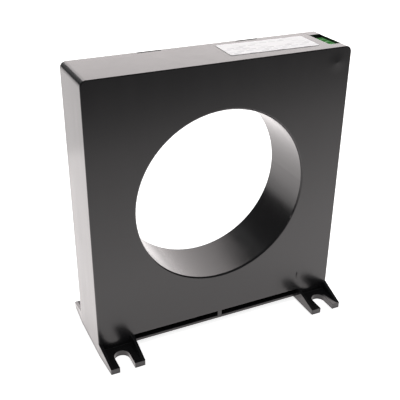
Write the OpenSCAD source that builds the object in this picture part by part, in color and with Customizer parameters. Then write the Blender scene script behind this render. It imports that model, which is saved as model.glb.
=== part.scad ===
// Current sense transformer with a round window.
// A moulded housing stands on two slotted feet. The ring core and its windings sit round the window tube,
// the terminals sit in a notch of the top face, and a snap-in cover closes the rear.
// X runs across the width, Y from the front face to the rear, Z up from the mounting surface.

/* [Window] */
// Diameter of the window for the conductors
window_d = 120; // [90:1:160]
// Width of the frame beside the window
side_w = 30; // [26:0.5:50]
// Height of the frame above the window
top_w = 30.5; // [26:0.5:50]
// Height of the frame between the window and the flush slot
sill_w = 30.5; // [26:0.5:50]
// Rounding of the window's rim
rim_r = 1.2; // [0.4:0.1:2]

/* [Body] */
// Depth from the front face to the rear face
body_d = 40; // [34:1:60]
// Thickness of the moulded walls
wall = 2.5; // [2:0.1:3]
// Step on the window tube that the rear cover rests on
tube_step = 1.2; // [0.8:0.1:2]
// Radius of the two long top edges
top_r = 4; // [3:0.5:6]
// Radius round the edge of the front face
face_r = 0.6; // [0.3:0.1:1]

/* [Base] */
// Gap under the body between the feet
base_gap = 4; // [3:0.1:6]
// Thickness of the bar under the flush slot
bar_h = 1.9; // [1.5:0.1:3]
// Height of the flush slot
recess_h = 4.1; // [3:0.1:6]
// Depth of the flush slot
recess_d = 15; // [8:0.5:16]
// Width of the post in the middle of the slot
mullion_w = 3; // [2:0.5:6]

/* [Feet] */
// Width of a foot
foot_w = 25; // [20:0.5:30]
// Length of a foot in front of the face
foot_l = 21; // [18:0.5:30]
// Thickness of a foot
foot_t = 4; // [3:0.1:6]
// How much a foot narrows at its tip, on its outer side
foot_taper = 1.2; // [0:0.1:2]
// Width of the screw slot
slot_w = 10.4; // [5:0.1:11]
// Distance from the face to the root of the slot
slot_root = 5.1; // [4:0.1:8]
// Thickness of a gusset
gusset_t = 2; // [1.5:0.1:3]
// Rounding of the foot's outer corners
tip_r = 0.6; // [0.3:0.1:1.5]

/* [Rear cover] */
// Thickness of the housing's lip round the cover
lip_t = 1.4; // [1:0.1:1.7]
// Distance from the middle to a top latch
latch_x = 34; // [20:1:45]
// Width of a top latch
latch_w = 16; // [10:0.5:20]
// Width of a foot latch
foot_latch_w = 10; // [6:0.5:14]
// Width of a latch slit along the depth
latch_slit = 1.5; // [1.2:0.1:1.7]
// Wall left behind a latch slit
latch_lip = 0.6; // [0.4:0.1:0.7]
// Height of a latch bead
bead_h = 0.8; // [0.5:0.1:1]

/* [Label] */
// Length of the label
label_w = 63; // [40:1:70]
// Width of the label
label_d = 24; // [16:1:28]
// Thickness of the label
label_t = 0.2; // [0.1:0.05:0.3]
// Distance from the label to the terminal notch
label_gap = 6.6; // [4:0.1:12]
// Offset of the label toward the rear
label_y = 1.5; // [0:0.5:3]
// Rounding of the label's corners
label_r = 1.5; // [0.5:0.1:3]
// Angle by which the label is stuck on askew
label_turn = 1.5; // [0:0.5:2]

/* [Terminals] */
// Number of poles
poles = 4; // [2:1:4]
// Pitch of the poles
pitch = 5.08; // [4.5:0.02:5.8]
// Width of the notch in the top face
well_w = 9.2; // [8.6:0.1:11]
// Gap in front of the block and behind it
well_gap = 1.9; // [0.5:0.1:3]
// Thickness of the walls round the terminals
well_wall = 1.5; // [1.2:0.1:2]
// Depth of the block's top under the top face
block_drop = 2; // [0.5:0.1:4]
// Height of the terminal block
block_h = 14; // [12:0.5:16]
// Thickness of the block's walls
pole_wall = 0.8; // [0.6:0.1:1]
// Radius of a screw hole
hole_r = 1.5; // [1.2:0.1:1.6]
// Size of a wire entry
entry_w = 3; // [2.4:0.1:3.2]
// Thickness of the terminal board
board_t = 1.6; // [1:0.1:2]
// Width of the terminal board
board_w = 22.3; // [21:0.1:24]

/* [Ring core] */
// Radial length of the ribs that hold the ring, where they are shortest
rib_l = 3.5; // [2:0.5:6]
// Thickness of the ribs and rails
rib_t = 1.6; // [1.2:0.1:2.5]
// Thickness of a foam cushion beside the ring
cushion_t = 2; // [1.5:0.1:3]
// Thickness of the screen ring
screen_t = 0.8; // [0.5:0.1:1]
// Space between the screen ring and the winding tape
screen_gap = 1.3; // [1.3:0.1:2]
// Thickness of the tape over the winding
tape_t = 0.4; // [0.2:0.05:0.6]
// Thickness of the secondary winding
winding_t = 1.4; // [1:0.1:2]
// Number of ridges that the turns of the winding make
ridges = 72; // [36:1:90]
// Depth of a ridge
ridge_h = 0.5; // [0.2:0.05:0.6]
// Thickness of the core case
case_t = 1.5; // [1:0.1:2]
// Thickness of the pads between the core and its case
pad_t = 1; // [0.5:0.1:1.5]
// Turns of the test winding
test_turns = 4; // [2:1:4]
// Diameter of the test winding's wire
test_d = 1; // [0.8:0.05:1.1]
// Diameter of the leads of the secondary winding
lead_d = 1.2; // [0.8:0.05:1.4]

/* [Hidden] */

// smoothness of bores and arcs, and of small round parts
$fn = 96;
small_fn = 32;
// overlap of shapes that are fused, and overreach of cuts
eps = 0.01;
over = 1;

black = [0.09, 0.09, 0.1];
white = [0.94, 0.94, 0.95];
green = [0.2, 0.65, 0.3];
copper = [0.72, 0.4, 0.2];
steel = [0.75, 0.76, 0.78];
brass = [0.8, 0.65, 0.3];
board_green = [0.12, 0.35, 0.2];
foam_grey = [0.4, 0.4, 0.42];
tape_yellow = [0.85, 0.75, 0.3];
case_white = [0.85, 0.85, 0.82];
core_grey = [0.45, 0.46, 0.48];
lead_red = [0.6, 0.1, 0.08];
lead_blue = [0.1, 0.2, 0.55];

// clearance between pieces that slide together
fit = 0.2;
// clearance between curved pieces
ring_fit = 0.3;
// play of the core in its case
core_play = 0.5;

// outer sizes and faces
window_r = window_d / 2;
body_w = window_d + 2 * side_w;
slot_z0 = base_gap + bar_h;
slot_z1 = slot_z0 + recess_h;
window_z = slot_z1 + sill_w + window_r;
body_h = window_z + window_r + top_w;
side_x = body_w / 2;
front_y = -body_d / 2;
rear_y = body_d / 2;
inner_x = side_x - wall;
inner_front = front_y + wall;
inner_rear = rear_y - wall;
inner_top = body_h - wall;
floor_z = slot_z1 + wall;
seat_r = window_r + wall;
tube_r = seat_r + tube_step;

// feet
foot_x0 = side_x - foot_w;
foot_xc = side_x - foot_w / 2;
slot_arc = slot_root + slot_w / 2;

// seat of the rear cover and its latches
rebate_x = side_x - lip_t;
rebate_top = body_h - lip_t;
rebate_bottom = floor_z - (wall - lip_t);
latch_y1 = rear_y - latch_lip;
latch_y0 = latch_y1 - latch_slit;

// terminals
block_l = poles * pitch;
well_y = block_l / 2 + well_gap;
well_x0 = inner_x - well_w;
block_x0 = well_x0 + fit;
block_x1 = inner_x - fit;
block_xc = (block_x0 + block_x1) / 2;
block_top = body_h - block_drop;
block_z = block_top - block_h;
board_z = block_z - board_t;
board_x0 = inner_x - fit - board_w;
well_z = block_z + ring_fit;
// recess round each pole's top, thickness of the block's floor, and depth of the clamps under its top
pole_pocket = 0.8;
block_floor = 1.2;
clamp_depth = 4.5;
clamp_z = block_z + block_floor;
clamp_top = block_top - clamp_depth;
// distance of the wire entries and the screw holes from the block's walls
pole_edge = 0.1;
entry_x = block_x0 + pole_wall + entry_w / 2 + pole_edge;
screw_x = block_x1 - pole_wall - hole_r - pole_edge;
// screws: radius and height of the head, its slit, and radius of the shank
head_r = hole_r - fit;
head_h = 1.6;
head_slit = 0.5;
shank_r = head_r - ring_fit;
// pins: width, radius of their holes, and length under the board
pin_w = 1;
pin_r = 0.85;
pin_out = 1.5;
// middle of the strip of the board beside the well
strip_x = (board_x0 + well_x0 - well_wall) / 2;

// ring, from the outside in and from the inside out
room = min(side_w, top_w, sill_w) - wall - (tube_r - window_r);
screen_r0 = tube_r + fit;
screen_r1 = screen_r0 + screen_t;
tape_r0 = screen_r1 + screen_gap;
tape_r1 = tube_r + room - rib_l;
layers = tape_t + fit + winding_t;
wind_r0 = tape_r0 + tape_t + fit;
wind_r1 = tape_r1 - tape_t - fit;
case_r0 = tape_r0 + layers;
case_r1 = tape_r1 - layers;
core_r0 = case_r0 + case_t + core_play;
core_r1 = case_r1 - case_t - core_play;
tape_y = inner_rear - cushion_t;
wind_y = tape_y - tape_t - fit;
case_y = tape_y - layers;
core_y = case_y - case_t - pad_t;
// angles of the gap in the winding where the leads come out, and of the ribs
gap_a0 = 42;
gap_a1 = 54;
gap_am = (gap_a0 + gap_a1) / 2;
rib_angles = [28, 135, 225, 252, 288, 315];
// corner of the winding's section
section_c = 1.5;

// leads: distance of their holes from the rear wall and from each other, and drop under the board
hole_inset = 3;
hole_step = 4;
lead_drop = 5;
hole_y = inner_rear - hole_inset;
lead_holes = [-hole_y, hole_step - hole_y, hole_y - hole_step, hole_y];
// height over the tape at which a lead turns in, and the angles at which it runs and ends beside the winding
lead_over = 4;
lead_run = 2;
lead_end = 0.2;

// diode: radius, length, distance of its holes from the middle, and radius of its leads
diode_r = 2.3;
diode_l = 8;
diode_span = diode_l / 2 + 1.5;
diode_lead_r = 0.4;
diode_z = block_z + diode_r + ring_fit;

// test winding: where its turns run, their corner, the angle they spread to each side, and how its ends leave
turn_r0 = tape_r0 - test_d / 2 - fit / 2;
turn_r1 = tape_r1 + test_d / 2 + fit / 2;
turn_y = tape_y + cushion_t / 2;
turn_c = 1.2;
turn_spread = 2.4;
turn_over = 3;

// A flat shape in the XZ plane, drawn out along Y.
module along_y(y0, y1) {
    translate([0, y1, 0])
        rotate([90, 0, 0])
            linear_extrude(y1 - y0)
                children();
}

// A box between two corners.
module box(a, b) {
    translate(a)
        cube(b - a);
}

// The two mirrored sides of the object.
module both_sides() {
    children();
    mirror([1, 0, 0])
        children();
}

// The same at the front and at the rear.
module both_ends() {
    children();
    mirror([0, 1, 0])
        children();
}

// Front view of the body: square below, rounded above.
module outline(half_w, z0, z1, r) {
    translate([-half_w, z0])
        square([2 * half_w, z1 - z0 - r]);
    translate([-half_w + r, z0])
        square([2 * half_w - 2 * r, z1 - z0]);
    for (s = [-1, 1])
        translate([s * (half_w - r), z1 - r])
            circle(r);
}

// A rectangle with rounded corners round the origin.
module round_rect(w, d, r) {
    square([w - 2 * r, d], center = true);
    square([w, d - 2 * r], center = true);
    for (x = [-1, 1], y = [-1, 1])
        translate([x * (w / 2 - r), y * (d / 2 - r)])
            circle(r, $fn = small_fn);
}

// A ring round the window's axis.
module ring(r0, r1, y0, y1) {
    translate([0, 0, window_z])
        along_y(y0, y1)
            difference() {
                circle(r1);
                circle(r0);
            }
}

// The sector of the ring that stays open for the leads.
module lead_gap(play) {
    reach = window_d + side_w;
    translate([0, 0, window_z])
        along_y(front_y, rear_y)
            polygon([[0, 0], reach * direction(gap_a0 - play), reach * direction(gap_a1 + play)]);
}

// What a rounding of radius r takes off a square edge at the origin.
module edge_waste(r) {
    difference() {
        translate([-over, -over])
            square(r + over);
        translate([r, r])
            circle(r, $fn = small_fn);
    }
}

// Rounding all round the edge of the front face.
module face_rounding() {
    both_sides() {
        translate([side_x, front_y, slot_z1])
            mirror([1, 0, 0])
                linear_extrude(body_h - top_r - slot_z1)
                    edge_waste(face_r);
        translate([side_x - top_r, 0, body_h - top_r])
            rotate([90, 0, 0])
                rotate_extrude(angle = 90)
                    translate([top_r, -front_y])
                        rotate(180)
                            edge_waste(face_r);
    }
    translate([side_x - top_r, front_y, body_h])
        rotate([0, -90, 0])
            linear_extrude(2 * (side_x - top_r))
                mirror([1, 0])
                    edge_waste(face_r);
}

// The window's bore with a rounded rim at the front face.
module window_cut() {
    translate([0, 0, window_z])
        rotate([-90, 0, 0]) {
            translate([0, 0, front_y - over])
                cylinder(r = window_r, h = body_d + 2 * over);
            rotate_extrude()
                translate([window_r, front_y])
                    intersection() {
                        edge_waste(rim_r);
                        translate([-over / 2, -over])
                            square(rim_r + over);
                    }
        }
}

// Plan of the front half of a foot: straight beside the body, narrower toward its tip.
module foot_plan() {
    tip_y = front_y - foot_l;
    tip_x = side_x - foot_taper;
    difference() {
        polygon([[foot_x0, 0], [side_x, 0], [side_x, front_y], [tip_x, tip_y], [foot_x0, tip_y]]);
        translate([foot_x0, tip_y])
            edge_waste(tip_r);
        translate([tip_x, tip_y])
            mirror([1, 0])
                edge_waste(tip_r);
        translate([foot_xc, front_y - slot_arc])
            circle(slot_w / 2);
        translate([foot_xc - slot_w / 2, tip_y - over])
            square([slot_w, foot_l - slot_arc + over]);
    }
}

// Side view of a gusset: it slopes from the body down to the tip of the foot.
module gusset_side() {
    tip = foot_l - tip_r;
    polygon([[front_y + over, 0], [front_y + over, slot_z1], [front_y, slot_z1], [front_y - tip, foot_t],
        [front_y - tip, 0]]);
}

// One foot with its open slot and two gussets, in front of the body.
module foot() {
    linear_extrude(foot_t)
        foot_plan();
    intersection() {
        for (x = [foot_x0, side_x - gusset_t - foot_taper])
            translate([x, 0, 0])
                rotate([90, 0, 90])
                    linear_extrude(gusset_t + (x > foot_x0 ? foot_taper : 0))
                        gusset_side();
        linear_extrude(slot_z1)
            foot_plan();
        outer_gusset_room();
    }
}

// Keeps the outer gusset thin where the foot narrows.
module outer_gusset_room() {
    tip_y = front_y - foot_l;
    linear_extrude(slot_z1)
        difference() {
            translate([foot_x0, tip_y])
                square([foot_w, foot_l + over]);
            polygon([[foot_x0 + gusset_t, front_y + over + eps], [side_x - gusset_t, front_y + over + eps],
                [side_x - gusset_t, front_y], [side_x - gusset_t - foot_taper, tip_y - over],
                [foot_x0 + gusset_t, tip_y - over]]);
        }
}

// The body's shell without its feet: walls, rebate for the cover, and the hollow feet corners.
module shell() {
    difference() {
        along_y(front_y, rear_y)
            outline(side_x, base_gap, body_h, top_r);
        along_y(inner_front, rear_y + over)
            outline(inner_x, floor_z, inner_top, top_r - wall);
        along_y(inner_rear, rear_y + over)
            outline(rebate_x, rebate_bottom, rebate_top, top_r - lip_t);
        both_sides()
            box([foot_x0 + wall, inner_front, foot_t], [inner_x, inner_rear, floor_z + over]);
    }
}

module housing() {
    color(black)
        difference() {
            union() {
                shell();
                both_sides()
                    both_ends()
                        foot();
                ring(window_r - over, tube_r, front_y + eps, inner_rear);
                ring(window_r - over, seat_r, front_y + eps, rear_y);
                cradle_ribs();
                terminal_walls();
            }
            window_cut();
            face_rounding();
            flush_slots();
            latch_slits();
            box([well_x0, -well_y, inner_top - over], [inner_x, rear_y + over, body_h + over]);
        }
}

// The dark slot between the feet, in two halves with a post between them, front and rear.
module flush_slots() {
    both_sides()
        both_ends()
            box([mullion_w / 2, front_y - over, slot_z0], [foot_x0, front_y + recess_d, slot_z1]);
}

// Slits in the top lip and recesses in the bottom step for the latches of the cover.
module latch_slits() {
    both_sides() {
        box([latch_x - latch_w / 2, latch_y0, rebate_top - over], [latch_x + latch_w / 2, latch_y1, body_h + over]);
        box([foot_xc - foot_latch_w / 2, inner_rear - over, rebate_bottom - bead_h],
            [foot_xc + foot_latch_w / 2, latch_y1, rebate_bottom + over]);
    }
}

// Ribs that hold the ring on its outside.
module cradle_ribs() {
    intersection() {
        along_y(inner_front - eps, inner_rear - fit)
            difference() {
                outline(side_x - wall / 2, floor_z - wall / 2, body_h - wall / 2, top_r - wall / 2);
                translate([0, window_z])
                    circle(tape_r1 + ring_fit);
            }
        translate([0, 0, window_z])
            for (a = rib_angles)
                rotate([0, -a, 0])
                    translate([0, front_y, -rib_t / 2])
                        cube([window_d + side_w, body_d, rib_t]);
    }
}

// Walls of the terminal well and the rails that carry the board.
module terminal_walls() {
    rear = inner_rear - fit;
    front = inner_front - eps;
    top = inner_top + eps;
    box([well_x0 - well_wall, -well_y - well_wall, well_z], [well_x0, rear, top]);
    box([well_x0 - well_wall, -well_y - well_wall, well_z], [inner_x + eps, -well_y, top]);
    box([board_x0 - fit - rib_t, front, board_z - rib_t], [board_x0 - fit, rear, top]);
    box([board_x0 - fit - eps, front, board_z - rib_t], [board_x0 + rib_t, rear, board_z]);
    box([inner_x - rib_t, front, board_z - rib_t], [inner_x + eps, rear, board_z]);
}

module rear_cover() {
    bottom = rebate_bottom + fit;
    top = rebate_top - fit;
    skirt_y = well_y + fit;
    color(black)
        difference() {
            union() {
                along_y(inner_rear, rear_y)
                    outline(rebate_x - fit, bottom, top, top_r - lip_t - fit);
                both_sides() {
                    latch_bead(latch_x, latch_w, top - eps);
                    latch_bead(foot_xc, foot_latch_w, bottom - bead_h + eps);
                }
                box([block_x0, skirt_y, inner_top - eps], [block_x1, rear_y, body_h]);
                box([block_x0, skirt_y, well_z], [block_x1, skirt_y + well_wall, inner_top]);
            }
            translate([0, rear_y + over, window_z])
                rotate([90, 0, 0])
                    cylinder(r = seat_r + fit, h = wall + 2 * over);
        }
}

// A bead that snaps into a latch slit.
module latch_bead(x, w, z) {
    half = w / 2 - fit;
    box([x - half, latch_y0 + fit, z], [x + half, latch_y1 - fit, z + bead_h]);
}

module rating_label() {
    color(white)
        translate([well_x0 - label_gap - label_w / 2, label_y, body_h])
            rotate(-label_turn)
                linear_extrude(label_t)
                    round_rect(label_w, label_d, label_r);
}

module ring_core() {
    color(core_grey)
        ring(core_r0, core_r1, -core_y, core_y);
}

module core_pads() {
    color(foam_grey)
        both_ends()
            ring(core_r0, core_r1, core_y, core_y + pad_t);
}

module core_case_base() {
    color(case_white) {
        ring(case_r0, case_r1, -case_y, -case_y + case_t);
        ring(case_r0, case_r0 + case_t, -case_y + case_t - eps, case_y - case_t);
        ring(case_r1 - case_t, case_r1, -case_y + case_t - eps, case_y - case_t);
    }
}

module core_case_lid() {
    color(case_white)
        ring(case_r0, case_r1, case_y - case_t, case_y);
}

// Unit vector at an angle in the XZ plane.
function direction(a) = [cos(a), sin(a)];

// A point of the ring at radius r, depth y and angle a.
function on_ring(r, y, a) = [r * cos(a), y, window_z + r * sin(a)];

// Section of the winding as points of radius and depth, d inside its outer surface.
function winding_section(d) =
    let (r0 = wind_r0 + d, r1 = wind_r1 - d, y = wind_y - d, c = section_c)
    [[r0 + c, -y], [r1 - c, -y], [r1, -y + c], [r1, y - c], [r1 - c, y], [r0 + c, y], [r0, y - c], [r0, -y + c]];

// A solid skin through closed loops of points, with flat ends.
module skin(loops) {
    n = len(loops[0]);
    last = len(loops) - 1;
    points = [for (loop = loops) each loop];
    sides = [for (i = [0:last - 1], k = [0:n - 1])
        let (a = i * n + k, b = i * n + (k + 1) % n)
        each [[a, b, b + n], [a, b + n, a + n]]];
    polyhedron(points, concat([[for (k = [0:n - 1]) n - 1 - k]], sides, [[for (k = [0:n - 1]) last * n + k]]));
}

module secondary_winding() {
    sweep = 360 - (gap_a1 - gap_a0);
    steps = 2 * ridges;
    color(copper)
        difference() {
            skin([for (i = [0:steps])
                [for (p = winding_section(i % 2 == 0 ? ridge_h : 0)) on_ring(p.x, p.y, gap_a1 + sweep * i / steps)]]);
            ring(case_r0 - fit, case_r1 + fit, -case_y, case_y);
        }
}

module winding_tape() {
    color(tape_yellow)
        difference() {
            ring(tape_r0, tape_r1, -tape_y, tape_y);
            ring(tape_r0 + tape_t, tape_r1 - tape_t, -tape_y + tape_t, tape_y - tape_t);
            lead_gap(-1);
        }
}

// Cuts the corners of a path once, so that it bends in curves.
function soften(path) = let (n = len(path) - 1)
    concat([path[0]], [for (i = [0:n - 1], t = [1, 3]) path[i] + (path[i + 1] - path[i]) * t / 4], [path[n]]);

function unit(v) = v / norm(v);

// A round wire along a path. Each ring is turned the least from the one before it.
module wire(path, r, sides) {
    n = len(path) - 1;
    ahead = [for (i = [0:n]) unit(path[min(i + 1, n)] - path[max(i - 1, 0)])];
    start = unit(cross(ahead[0], abs(ahead[0].y) < 0.9 ? [0, 1, 0] : [1, 0, 0]));
    out = [for (i = 0, v = start; i <= n; i = i + 1,
        v = i > n ? v : unit(v - (v * ahead[i]) * ahead[i])) v];
    skin([for (i = [0:n])
        [for (k = [0:sides - 1])
            let (a = 360 * k / sides)
            path[i] + r * (cos(a) * out[i] + sin(a) * cross(ahead[i], out[i]))]]);
}

// One turn of the test winding as points of radius and depth, from the outer front corner round to the outer front.
turn_section = [[turn_r1, -turn_y + turn_c], [turn_r1, 0], [turn_r1, turn_y - turn_c],
    [turn_r1 - turn_c / 3, turn_y - turn_c / 3], [turn_r1 - turn_c, turn_y], [turn_r0 + turn_c, turn_y],
    [turn_r0 + turn_c / 3, turn_y - turn_c / 3], [turn_r0, turn_y - turn_c], [turn_r0, 0],
    [turn_r0, -turn_y + turn_c], [turn_r0 + turn_c / 3, -turn_y + turn_c / 3], [turn_r0 + turn_c, -turn_y],
    [turn_r1 - turn_c, -turn_y], [turn_r1 - turn_c / 3, -turn_y + turn_c / 3]];

// Path of a lead from its hole in the board down to a point of the ring.
function lead_path(s, shift, r, y, a) = [[strip_x, s * (hole_y - shift), block_z + over],
    [strip_x, s * (hole_y - shift), board_z - lead_drop], on_ring(r, y, a)];

module test_winding() {
    m = len(turn_section);
    steps = test_turns * m + 2;
    a0 = gap_am - turn_spread;
    a1 = gap_am + turn_spread;
    turns = [for (i = [0:steps]) let (p = turn_section[i % m]) on_ring(p.x, p.y, a0 + (a1 - a0) * i / steps)];
    first = lead_path(-1, 0, turn_r1 + turn_over, -turn_y + turn_c, a0);
    final = lead_path(1, 0, turn_r1 + turn_over, turn_y - turn_c, a1);
    color(lead_blue)
        wire(concat(soften(soften(concat(first, [turns[0]]))), [for (i = [1:steps - 1]) turns[i]],
            soften(soften([turns[steps], final[2], final[1], final[0]]))), test_d / 2, 6);
}

module secondary_leads() {
    r = wind_r1 - lead_d / 2;
    color(lead_red)
        for (s = [-1, 1]) {
            y = s * hole_y / 2;
            a_face = s < 0 ? gap_a0 : gap_a1;
            a_out = a_face - s * lead_run;
            path = concat(lead_path(s, hole_step, tape_r1 + lead_over, y, a_out),
                [on_ring(r, y, a_out), on_ring(r, y, a_face - s * lead_end)]);
            wire(soften(soften(path)), lead_d / 2, 8);
        }
}

module screen_ring() {
    color(steel)
        ring(screen_r0, screen_r1, inner_front + fit, inner_rear - tube_step);
}

module front_cushion() {
    color(foam_grey)
        difference() {
            ring(tape_r0, tape_r1, inner_front, -tape_y);
            lead_gap(0);
        }
}

module rear_cushion() {
    color(foam_grey)
        difference() {
            ring(tape_r0, tape_r1, tape_y, inner_rear);
            lead_gap(0);
        }
}

// Places the children at each pole.
module at_poles() {
    for (i = [0:poles - 1])
        translate([0, (i - (poles - 1) / 2) * pitch, 0])
            children();
}

module terminal_board() {
    color(board_green)
        difference() {
            box([board_x0, inner_front + fit, board_z], [inner_x - fit, inner_rear - fit, block_z]);
            at_poles()
                translate([block_xc, 0, board_z - over])
                    cylinder(r = pin_r, h = board_t + 2 * over, $fn = small_fn);
            for (y = concat(lead_holes, [-diode_span, diode_span]))
                translate([strip_x, y, board_z - over])
                    cylinder(r = pin_r, h = board_t + 2 * over, $fn = small_fn);
        }
}

module terminal_block() {
    half = pitch / 2 - pole_wall / 2;
    color(green)
        difference() {
            box([block_x0, -block_l / 2, block_z], [block_x1, block_l / 2, block_top]);
            at_poles() {
                box([block_x0 + pole_wall, -half, clamp_z], [block_x1 - pole_wall, half, clamp_top]);
                box([block_x0 + pole_wall, -half, block_top - pole_pocket],
                    [block_x1 - pole_wall, half, block_top + over]);
                translate([screw_x, 0, clamp_top - over])
                    cylinder(r = hole_r, h = block_drop + pole_pocket + 4 * over, $fn = small_fn);
                box([entry_x - entry_w / 2, -entry_w / 2, clamp_top - over],
                    [entry_x + entry_w / 2, entry_w / 2, block_top]);
                translate([block_xc, 0, block_z - over])
                    cylinder(r = pin_r, h = 3 * over, $fn = small_fn);
            }
        }
}

module terminal_screws() {
    color(steel)
        at_poles()
            translate([screw_x, 0, 0]) {
                difference() {
                    translate([0, 0, clamp_top - fit])
                        cylinder(r = head_r, h = head_h, $fn = small_fn);
                    box([-head_r - over, -head_slit / 2, clamp_top - fit + head_h / 2],
                        [head_r + over, head_slit / 2, clamp_top + head_h]);
                }
                translate([0, 0, clamp_z + over])
                    cylinder(r = shank_r, h = clamp_top - clamp_z - over, $fn = small_fn);
            }
}

// Brass cages that the screws close on the wires. Each has a bore for the shank and a way in for the wire.
module wire_clamps() {
    half = pitch / 2 - pole_wall / 2 - fit;
    way = entry_w / 2 - 2 * fit;
    color(brass)
        at_poles()
            difference() {
                box([block_x0 + pole_wall + fit, -half, clamp_z], [block_x1 - pole_wall - fit, half, clamp_top - fit]);
                translate([screw_x, 0, clamp_z + over / 2])
                    cylinder(r = shank_r + fit, h = clamp_top, $fn = small_fn);
                box([entry_x - way, -way, clamp_z + 1.5 * over], [entry_x + way, way, clamp_top + over]);
            }
}

module terminal_pins() {
    color(steel)
        at_poles()
            box([block_xc - pin_w / 2, -pin_w / 2, board_z - pin_out], [block_xc + pin_w / 2, pin_w / 2, clamp_z]);
}

module suppressor_diode() {
    color(black)
        translate([strip_x, 0, diode_z])
            rotate([90, 0, 0])
                cylinder(r = diode_r, h = diode_l, center = true, $fn = small_fn);
}

module diode_leads() {
    path = [[strip_x, diode_l / 2, diode_z], [strip_x, diode_span, diode_z], [strip_x, diode_span, board_z - over]];
    color(steel)
        both_ends()
            wire(soften(soften(path)), diode_lead_r, 8);
}

housing();
rear_cover();
rating_label();
ring_core();
core_case_base();
core_case_lid();
core_pads();
secondary_winding();
secondary_leads();
winding_tape();
test_winding();
screen_ring();
front_cushion();
rear_cushion();
terminal_board();
terminal_block();
terminal_screws();
wire_clamps();
terminal_pins();
suppressor_diode();
diode_leads();
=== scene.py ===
import math

import bpy
from mathutils import Matrix, Vector

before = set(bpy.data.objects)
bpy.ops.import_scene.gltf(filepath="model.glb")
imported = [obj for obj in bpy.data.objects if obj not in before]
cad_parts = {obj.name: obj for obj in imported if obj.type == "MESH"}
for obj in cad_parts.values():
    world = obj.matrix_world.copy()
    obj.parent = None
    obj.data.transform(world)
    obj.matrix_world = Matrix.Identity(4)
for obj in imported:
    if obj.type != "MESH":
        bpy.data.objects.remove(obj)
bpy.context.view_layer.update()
print("pieces", sorted(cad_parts))

# %% [markdown]
# ## How a finish is built
# Every finish is a node tree on a Principled shader. A tree could be wired by hand in the shader
# editor, but the same few steps come back in every finish, so a script wires them. The patterns
# read Object coordinates, which count metres from the object's origin. So a pattern keeps its
# scale from piece to piece, and stays where it is when the camera moves. A few helpers keep the
# trees short. They make a node and fill its sockets, give the object's own coordinates, moved,
# turned and stretched where a pattern needs it, and do the arithmetic between nodes.
# %% Node helpers


def feed(mat, socket, value):
    """Links another node's output to a socket, or sets the socket to a plain value."""
    if isinstance(value, bpy.types.NodeSocket):
        mat.node_tree.links.new(value, socket)
    else:
        socket.default_value = value


def node(mat, kind, **sockets):
    """A node of this kind. Each keyword is a socket, given a value or another node's output."""
    made = mat.node_tree.nodes.new("ShaderNode" + kind)
    for key, value in sockets.items():
        feed(mat, made.inputs[key.replace("_", " ")], value)
    return made


def place(mat, at=(0, 0, 0), turn=(0, 0, 0), stretch=(1, 1, 1)):
    """Object coordinates in metres, moved to a point of the object, turned and stretched."""
    own = node(mat, "TexCoord").outputs["Object"]
    if at == (0, 0, 0) and turn == (0, 0, 0) and stretch == (1, 1, 1):
        return own
    moved = node(mat, "Mapping", Vector=own)
    moved.vector_type = "TEXTURE"
    moved.inputs["Location"].default_value = at
    moved.inputs["Rotation"].default_value = turn
    moved.inputs["Scale"].default_value = stretch
    return moved.outputs["Vector"]


def math_of(mat, how, *values):
    """One step of arithmetic."""
    step = node(mat, "Math")
    step.operation = how
    for socket, value in zip(step.inputs, values):
        feed(mat, socket, value)
    return step.outputs[0]


def span(mat, value, out_low, out_high, in_low=0.0, in_high=1.0):
    """Carries a value from one range to another."""
    made = node(
        mat, "MapRange", Value=value,
        From_Min=in_low, From_Max=in_high, To_Min=out_low, To_Max=out_high,
    )
    return made.outputs["Result"]


def blend(mat, factor, first, second):
    """A colour between two colours. The Mix node has a socket for each kind of data it mixes."""
    mix = node(mat, "Mix")
    mix.data_type = "RGBA"
    factor_socket, first_color, second_color = mix.inputs[0], mix.inputs[6], mix.inputs[7]
    feed(mat, factor_socket, factor)
    feed(mat, first_color, (*first, 1))
    feed(mat, second_color, (*second, 1))
    mixed_color = mix.outputs[2]
    return mixed_color


def noise(mat, scale, detail=3.0, where=None):
    """Cloudy noise. The scale is in clouds per metre."""
    cloud = node(mat, "TexNoise", Vector=where or place(mat), Scale=scale, Detail=detail)
    return cloud.outputs["Fac"]


print("helpers ready")

# %% [markdown]
# ## A base for all finishes
# This makes the material and its Principled shader. The roughness drifts a little over the
# surface, as on every moulded or coated piece. The heights of a pattern become a bump, given in
# metres, so a ridge of a tenth of a millimetre really is one. No moulded edge is quite sharp. Its
# small rounding could be made with a Bevel modifier, but the CAD pieces come as loose triangles,
# which share no edges to round. The Bevel node of the shader needs none, and lets the edge catch
# the light.
# %% Shader base
DRIFT = 0.03
BEVEL_SAMPLES = 6
# nearly all of a noise lies between these two values
CLOUDS = (0.25, 0.75)


def bare(name, color, metallic=0.0, ior=1.5):
    """A material and its Principled shader, without a roughness of its own yet."""
    mat = bpy.data.materials.new(name)
    mat.use_nodes = True
    shader = mat.node_tree.nodes["Principled BSDF"]
    shader.inputs["Base Color"].default_value = (*color, 1)
    shader.inputs["Metallic"].default_value = metallic
    shader.inputs["IOR"].default_value = ior
    return mat, shader


def finish(name, color, roughness, metallic=0.0):
    """A material whose roughness drifts softly round this value."""
    mat, shader = bare(name, color, metallic)
    rough = span(mat, noise(mat, 35), roughness - DRIFT, roughness + DRIFT, *CLOUDS)
    feed(mat, shader.inputs["Roughness"], rough)
    return mat, shader


def rounded_normal(mat, radius):
    """The surface's direction as if its edges were rounded by this radius."""
    rounded = node(mat, "Bevel", Radius=radius)
    rounded.samples = BEVEL_SAMPLES
    return rounded.outputs["Normal"]


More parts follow.
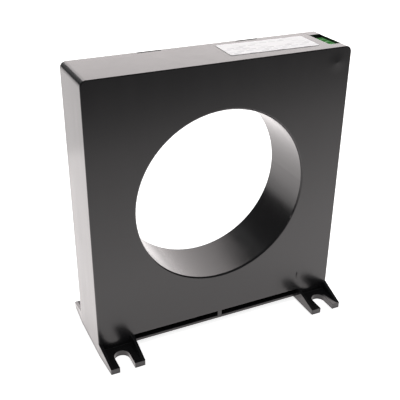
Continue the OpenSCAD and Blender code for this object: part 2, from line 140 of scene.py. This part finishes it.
def relief(mat, shader, heights, edge=0.0):
    """Adds up (height, metres) pairs as bumps, on edges rounded by the radius edge."""
    normal = rounded_normal(mat, edge) if edge else None
    for height, depth in heights:
        bump = node(mat, "Bump", Height=height, Strength=1.0, Distance=depth)
        if normal is not None:
            feed(mat, bump.inputs["Normal"], normal)
        normal = bump.outputs["Normal"]
    feed(mat, shader.inputs["Normal"], normal)


def dress(mat, *names):
    """Puts a finish in the material slots of these CAD pieces."""
    for name in names:
        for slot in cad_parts[name].material_slots:
            slot.material = mat
    print(mat.name, "on", ", ".join(names))


print("shader base ready")

# %% [markdown]
# ## Housing and cover
# They are moulded in black, fairly glossy plastic. What one sees of black plastic is nearly all
# reflection, so the base colour is very dark and the surface does the work. It has a fine grain
# from the mould, upright streaks where the plastic flowed, and long soft waves where the walls
# shrank. There is a slight swelling over the corner of the terminal well, and a sink mark over a
# rib. The edges are rubbed a little paler. All this could be painted on an image, but noise and
# gradient textures need no unwrapping and stay sharp in a close view.
# %% Black plastic
BLACK = (0.011, 0.011, 0.012)
RUBBED = (0.05, 0.05, 0.053)
# each mark on the front face: its middle, its half sizes, and its height, below zero for a sink
WELL_SWELLING = ((0.08, -0.02, 0.181), (0.01, 0.006, 0.008), 0.00022)
RIB_SINK = ((0.0636, -0.02, 0.023), (0.0016, 0.003, 0.0055), -0.0003)


def rubbed_edges(mat, radius):
    """One on an edge, zero on a face: how far a rounded normal turns away from the true one."""
    dot = node(mat, "VectorMath")
    dot.operation = "DOT_PRODUCT"
    feed(mat, dot.inputs[0], rounded_normal(mat, radius))
    feed(mat, dot.inputs[1], node(mat, "NewGeometry").outputs["True Normal"])
    return span(mat, dot.outputs["Value"], 1.0, 0.0, 0.8, 0.98)


def mould_mark(mat, at, size):
    """A soft round spot, one in its middle and zero outside."""
    ball = node(mat, "TexGradient", Vector=place(mat, at=at, stretch=size))
    ball.gradient_type = "QUADRATIC_SPHERE"
    return ball.outputs["Fac"]


def black_plastic(name, marks):
    """Glossy black moulded plastic."""
    mat, shader = bare(name, BLACK, ior=1.53)
    worn = math_of(mat, "MULTIPLY", rubbed_edges(mat, 0.0005), noise(mat, 300, 4))
    feed(mat, shader.inputs["Base Color"], blend(mat, worn, BLACK, RUBBED))
    streaks = noise(mat, 160, 3, place(mat, stretch=(1, 1, 12)))
    flow = span(mat, streaks, -0.02, 0.02, *CLOUDS)
    drift = span(mat, noise(mat, 30), 0.2, 0.24, *CLOUDS)
    feed(mat, shader.inputs["Roughness"], math_of(mat, "ADD", drift, flow))
    grain, waves = noise(mat, 2500, 2), noise(mat, 22, 1)
    heights = [(grain, 0.000004), (waves, 0.00006)]
    heights += [(mould_mark(mat, at, size), depth) for at, size, depth in marks]
    relief(mat, shader, heights, edge=0.0003)
    return mat


dress(black_plastic("black_plastic", [WELL_SWELLING, RIB_SINK]), "housing")
dress(black_plastic("black_cover", []), "rear_cover")

# %% [markdown]
# ## Label
# It is a white film with a clear, slightly glossy face. Its print is kept generic: rows of pale
# grey bars and nothing to read. Each bar could be a thin piece of its own, but print has no
# thickness to speak of, and one Brick texture draws them all: each brick is a bar of its own
# grey, and the mortar is bare paper. The pattern is turned with the label, which is stuck on a
# little askew.
# %% White label
PAPER = (0.8, 0.8, 0.81)
PRINT = (0.42, 0.42, 0.44)
LABEL_MIDDLE = (0.0402, 0.0015, 0.191)
LABEL_TURN = math.radians(-1.5)
label_mat, label_shader = finish("label_film", PAPER, 0.42)
bars = node(
    label_mat, "TexBrick", Vector=place(label_mat, at=LABEL_MIDDLE, turn=(0, 0, LABEL_TURN)),
    Scale=1.0, Brick_Width=0.0064, Row_Height=0.0026, Mortar_Size=0.0008,
    Mortar_Smooth=0.3, Bias=-0.2, Color1=(*PAPER, 1), Color2=(*PRINT, 1), Mortar=(*PAPER, 1),
)
feed(label_mat, label_shader.inputs["Base Color"], bars.outputs["Color"])
relief(label_mat, label_shader, [(noise(label_mat, 90, 2), 0.00002)], edge=0.0001)
dress(label_mat, "rating_label")

# %% [markdown]
# ## Terminals
# The block is green moulded plastic, its screws are plated steel, and brass cages below them hold
# the wires. The board is glass cloth under green lacquer, so it shows a fine weave. An image of
# cloth could give that, but two Wave textures that cross at a right angle do it with no image.
# %% Terminal finishes
green, green_shader = finish("green_plastic", (0.17, 0.52, 0.17), 0.32)
relief(green, green_shader, [(noise(green, 1800, 2), 0.000008)], edge=0.00015)
dress(green, "terminal_block")

steel, steel_shader = finish("plated_steel", (0.62, 0.62, 0.64), 0.28, metallic=1.0)
relief(steel, steel_shader, [(noise(steel, 1500, 3), 0.000008)], edge=0.0001)
dress(steel, "terminal_screws", "terminal_pins", "diode_leads")

brass, brass_shader = finish("brass", (0.75, 0.55, 0.25), 0.3, metallic=1.0)
relief(brass, brass_shader, [(noise(brass, 1200, 3), 0.00001)], edge=0.0001)
dress(brass, "wire_clamps")

board, board_shader = finish("board_lacquer", (0.01, 0.12, 0.05), 0.25)
THREADS = {"Scale": 700.0, "Distortion": 0.4}
ACROSS = (0, 0, math.pi / 2)
warp = node(board, "TexWave", Vector=place(board), **THREADS)
weft = node(board, "TexWave", Vector=place(board, turn=ACROSS), **THREADS)
weave = math_of(board, "ADD", warp.outputs["Fac"], weft.outputs["Fac"])
relief(board, board_shader, [(weave, 0.00001)], edge=0.0001)
dress(board, "terminal_board")

# %% [markdown]
# ## Ring core and its windings
# These lie inside the housing. The core is a steel strip wound up like a roll of tape, so its
# flat sides show fine rings. The winding's copper turns run across the ring. Each turn could be a
# curve of its own, but the solid already has the broad ridges of the winding, and a fine bump
# over them costs no faces. A Gradient texture that counts the angle round the window draws the
# turns, and the laps of the tape in the same way.
# %% Ring finishes
WINDOW = (0, 0, 0.1005)


def turns_round(mat, count):
    """A row of count rounded ridges round the window's axis."""
    angle = node(mat, "TexGradient", Vector=place(mat, at=WINDOW, turn=(math.pi / 2, 0, 0)))
    angle.gradient_type = "RADIAL"
    phase = math_of(mat, "MULTIPLY", angle.outputs["Fac"], 2 * math.pi * count)
    wave = math_of(mat, "SINE", phase)
    return span(mat, wave, 0.0, 1.0, -1.0, 1.0)


def rings_round(mat, per_metre):
    """Fine rings round the window's axis."""
    flat = place(mat, at=WINDOW, stretch=(1, 1000, 1))
    rings = node(mat, "TexWave", Vector=flat, Scale=per_metre)
    rings.wave_type = "RINGS"
    rings.rings_direction = "SPHERICAL"
    return rings.outputs["Fac"]


core, core_shader = finish("core_steel", (0.4, 0.41, 0.43), 0.35, metallic=1.0)
relief(core, core_shader, [(rings_round(core, 800.0), 0.00002)])
dress(core, "ring_core")

copper, copper_shader = finish("copper_wire", (0.62, 0.25, 0.1), 0.28, metallic=1.0)
relief(copper, copper_shader, [(turns_round(copper, 900), 0.0001)])
dress(copper, "secondary_winding")

tape, tape_shader = finish("polyester_tape", (0.75, 0.55, 0.12), 0.3)
relief(tape, tape_shader, [(turns_round(tape, 40), 0.00012), (noise(tape, 120, 3), 0.0001)])
dress(tape, "winding_tape")

case, case_shader = finish("case_plastic", (0.75, 0.75, 0.72), 0.45)
relief(case, case_shader, [(noise(case, 900, 2), 0.00001)], edge=0.0003)
dress(case, "core_case_base", "core_case_lid")

foam, foam_shader = finish("grey_foam", (0.12, 0.12, 0.13), 0.9)
cells = node(foam, "TexVoronoi", Vector=place(foam), Scale=900.0)
relief(foam, foam_shader, [(cells.outputs["Distance"], 0.0004)])
dress(foam, "core_pads", "front_cushion", "rear_cushion")

screen, screen_shader = finish("screen_steel", (0.55, 0.56, 0.58), 0.38, metallic=1.0)
rolled = noise(screen, 700, 3, place(screen, stretch=(1, 0.03, 1)))
relief(screen, screen_shader, [(rolled, 0.00001)], edge=0.0002)
dress(screen, "screen_ring")

# %% [markdown]
# ## Leads and diode
# The leads are copper wires in coloured plastic sleeves. The diode is a small black cylinder with
# a pale band at one end, which tells its direction. The band could be a thin ring round it, but
# it is only paint, so two comparisons along the diode's axis colour it.
# %% Lead and diode finishes
SLEEVES = (
    ("red_sleeve", (0.5, 0.03, 0.02), "secondary_leads"),
    ("blue_sleeve", (0.03, 0.07, 0.4), "test_winding"),
)
for name, color, piece in SLEEVES:
    sleeve, sleeve_shader = finish(name, color, 0.4)
    relief(sleeve, sleeve_shader, [(noise(sleeve, 1500, 2), 0.00001)])
    dress(sleeve, piece)

RESIN = (0.02, 0.02, 0.022)
BAND = (0.7, 0.7, 0.7)
BAND_START, BAND_END = 0.0022, 0.0032
diode, diode_shader = finish("diode_resin", RESIN, 0.5)
along = node(diode, "SeparateXYZ", Vector=place(diode)).outputs["Y"]
past_start = math_of(diode, "GREATER_THAN", along, BAND_START)
before_end = math_of(diode, "LESS_THAN", along, BAND_END)
on_band = math_of(diode, "MULTIPLY", past_start, before_end)
feed(diode, diode_shader.inputs["Base Color"], blend(diode, on_band, RESIN, BAND))
relief(diode, diode_shader, [(noise(diode, 1500, 3), 0.00002)], edge=0.0003)
dress(diode, "suppressor_diode")

# %% [markdown]
# ## Studio
# The floor is pale and plain. It is lit by the lamps and keeps the object's shadow. A curved
# backdrop is the usual way to a white picture. But the photograph's front face mirrors a table
# that ends, and shows that from grey at its foot to near black on top. So this floor is flat, and
# in mirrors it fades out towards the camera. Light Path does that, and adds a white glow that
# only the camera and mirror-like surfaces see, so the background comes out white without more
# light on the object.
# %% Floor
PALE = (0.9, 0.9, 0.9)
WARM = (1.0, 0.94, 0.935)
WHITE_GLOW = 0.8
# in mirrors the floor is bright behind FADE_START, and keeps the share FADED of its brightness in
# front of FADE_END, both in metres along Y turned by FADE_TURN
FADE_TURN = math.radians(-12)
FADE_END, FADE_START = -0.5, -0.1
FADED = 0.1

bpy.ops.mesh.primitive_plane_add(size=8)
floor = bpy.context.object
floor.name = "floor"
floor_mat, floor_shader = bare("floor_pale", PALE)
floor.data.materials.append(floor_mat)
floor_shader.inputs["Roughness"].default_value = 0.9
floor_shader.inputs["Specular IOR Level"].default_value = 0.0
path = node(floor_mat, "LightPath")
glossy, through = path.outputs["Is Glossy Ray"], path.outputs["Is Transmission Ray"]
mirror = math_of(floor_mat, "MAXIMUM", glossy, through)
turned = place(floor_mat, turn=(0, 0, FADE_TURN))
ahead = node(floor_mat, "SeparateXYZ", Vector=turned).outputs["Y"]
fade = span(floor_mat, ahead, FADED, 1.0, FADE_END, FADE_START)
mirrored = math_of(floor_mat, "MULTIPLY", mirror, fade)
seen = math_of(floor_mat, "MULTIPLY", path.outputs["Is Camera Ray"], WHITE_GLOW)
gone = math_of(floor_mat, "SUBTRACT", mirror, mirrored)
glow = math_of(floor_mat, "ADD", mirrored, seen)
feed(floor_mat, floor_shader.inputs["Emission Strength"], glow)
feed(floor_mat, floor_shader.inputs["Emission Color"], blend(floor_mat, mirror, (1, 1, 1), WARM))
feed(floor_mat, floor_shader.inputs["Base Color"], blend(floor_mat, gone, PALE, (0, 0, 0)))
print("floor ready")

# %% [markdown]
# The world gives the camera a white background and the object a plain, even light. In mirrors it
# is nearly dark: the photograph's black plastic shows a dark room over the bright table. A
# panorama of a studio could fill it, but one level for each kind of ray is enough here, and the
# lamps do the rest.
# %% World
MIRRORED_ROOM = 0.07
PLAIN_LIGHT = 0.4
world = bpy.context.scene.world or bpy.data.worlds.new("studio")
bpy.context.scene.world = world
world.use_nodes = True
back = world.node_tree.nodes["Background"]
back.inputs["Color"].default_value = (1, 1, 1, 1)
ray = node(world, "LightPath").outputs
white = math_of(world, "MAXIMUM", ray["Is Camera Ray"], ray["Is Transmission Ray"])
dark = math_of(world, "MULTIPLY", ray["Is Glossy Ray"], MIRRORED_ROOM)
plain = math_of(world, "MULTIPLY", ray["Is Diffuse Ray"], PLAIN_LIGHT)
room = math_of(world, "ADD", dark, plain)
feed(world, back.inputs["Strength"], math_of(world, "ADD", white, room))
print("world ready")

# %% [markdown]
# Small lamps would show as hard spots in the glossy plastic, so these are broad and soft. The
# tall one behind, to the right, shines along the top face and into the window, and a dim wall
# beside it shows in the rounded edge. The one overhead lights the label, the terminals and the
# floor, and shows in no mirror. Three flat ones lie on the table like the panes of a light table,
# and brighten what the faces and the window mirror of it.
# %% Lamps


def lamp(name, where, aim, wide, tall, glow, tint=(1, 1, 1), mirrored=True):
    """A soft rectangular lamp whose face shines with the radiance glow."""
    light = bpy.data.lights.new(name, "AREA")
    light.shape = "RECTANGLE"
    light.size = wide
    light.size_y = tall
    light.energy = glow * math.pi * wide * tall
    light.color = tint
    box = bpy.data.objects.new(name, light)
    bpy.context.scene.collection.objects.link(box)
    box.location = where
    box.rotation_euler = (Vector(aim) - Vector(where)).to_track_quat("-Z", "Y").to_euler()
    box.visible_camera = False
    box.visible_glossy = mirrored
    print(name, "at", where, round(light.energy, 2), "W")


def pane(name, x, y, wide, tall, glow):
    """A lamp that lies on the table and shines up."""
    lamp(name, (x, y, 0.001), (x, y, 1), wide, tall, glow, WARM)


lamp("rear_softbox", (0.55, 1.3, 0.71), (-0.1, 0.05, 0.71), 1.7, 1.42, glow=2.25, tint=WARM)
lamp("rear_wall", (-0.31, 1.4, 0.6), (0, 0, 0.6), 0.55, 1.3, glow=0.3)
lamp("overhead", (0.05, 0.05, 0.95), (0.05, 0.05, 0), 0.6, 0.6, glow=2.2, mirrored=False)
pane("table_left", -0.2905, 0.1, 0.4, 0.42, glow=0.52)
pane("table_rear", 0.15, 0.17, 0.48, 0.24, glow=0.6)
pane("table_front", 0.2, -0.2, 1.0, 0.36, glow=0.22)

# %% [markdown]
# ## Camera
# It stands at the photograph's angle. It could be placed by eye, but its place, direction and
# lens come from a fit to corners and edges that were measured in the photograph. The photograph
# seems to be cropped off its middle, which a larger shift would copy better. But views from the
# sides keep the shift, and would then cut the feet off.
# %% The photograph's camera
CAMERA_AT = (-0.18893, -0.37995, 0.31295)
HEAD, PITCH, ROLL = (math.radians(angle) for angle in (25.597, -28.450, 0.624))
cam = bpy.data.cameras.new("camera")
cam.lens = 63.345
cam.sensor_width = 36
cam.shift_y = 0.02
view = bpy.data.objects.new("camera", cam)
bpy.context.scene.collection.objects.link(view)
aim_side = Matrix.Rotation(-HEAD, 3, "Z")
aim_down = Matrix.Rotation(math.pi / 2 + PITCH, 3, "X")
aim = aim_side @ aim_down @ Matrix.Rotation(ROLL, 3, "Z")
view.matrix_world = Matrix.Translation(CAMERA_AT) @ aim.to_4x4()
bpy.context.scene.camera = view
bpy.context.scene.view_settings.view_transform = "Standard"
print("camera at", CAMERA_AT, "lens", round(cam.lens, 1), "mm")
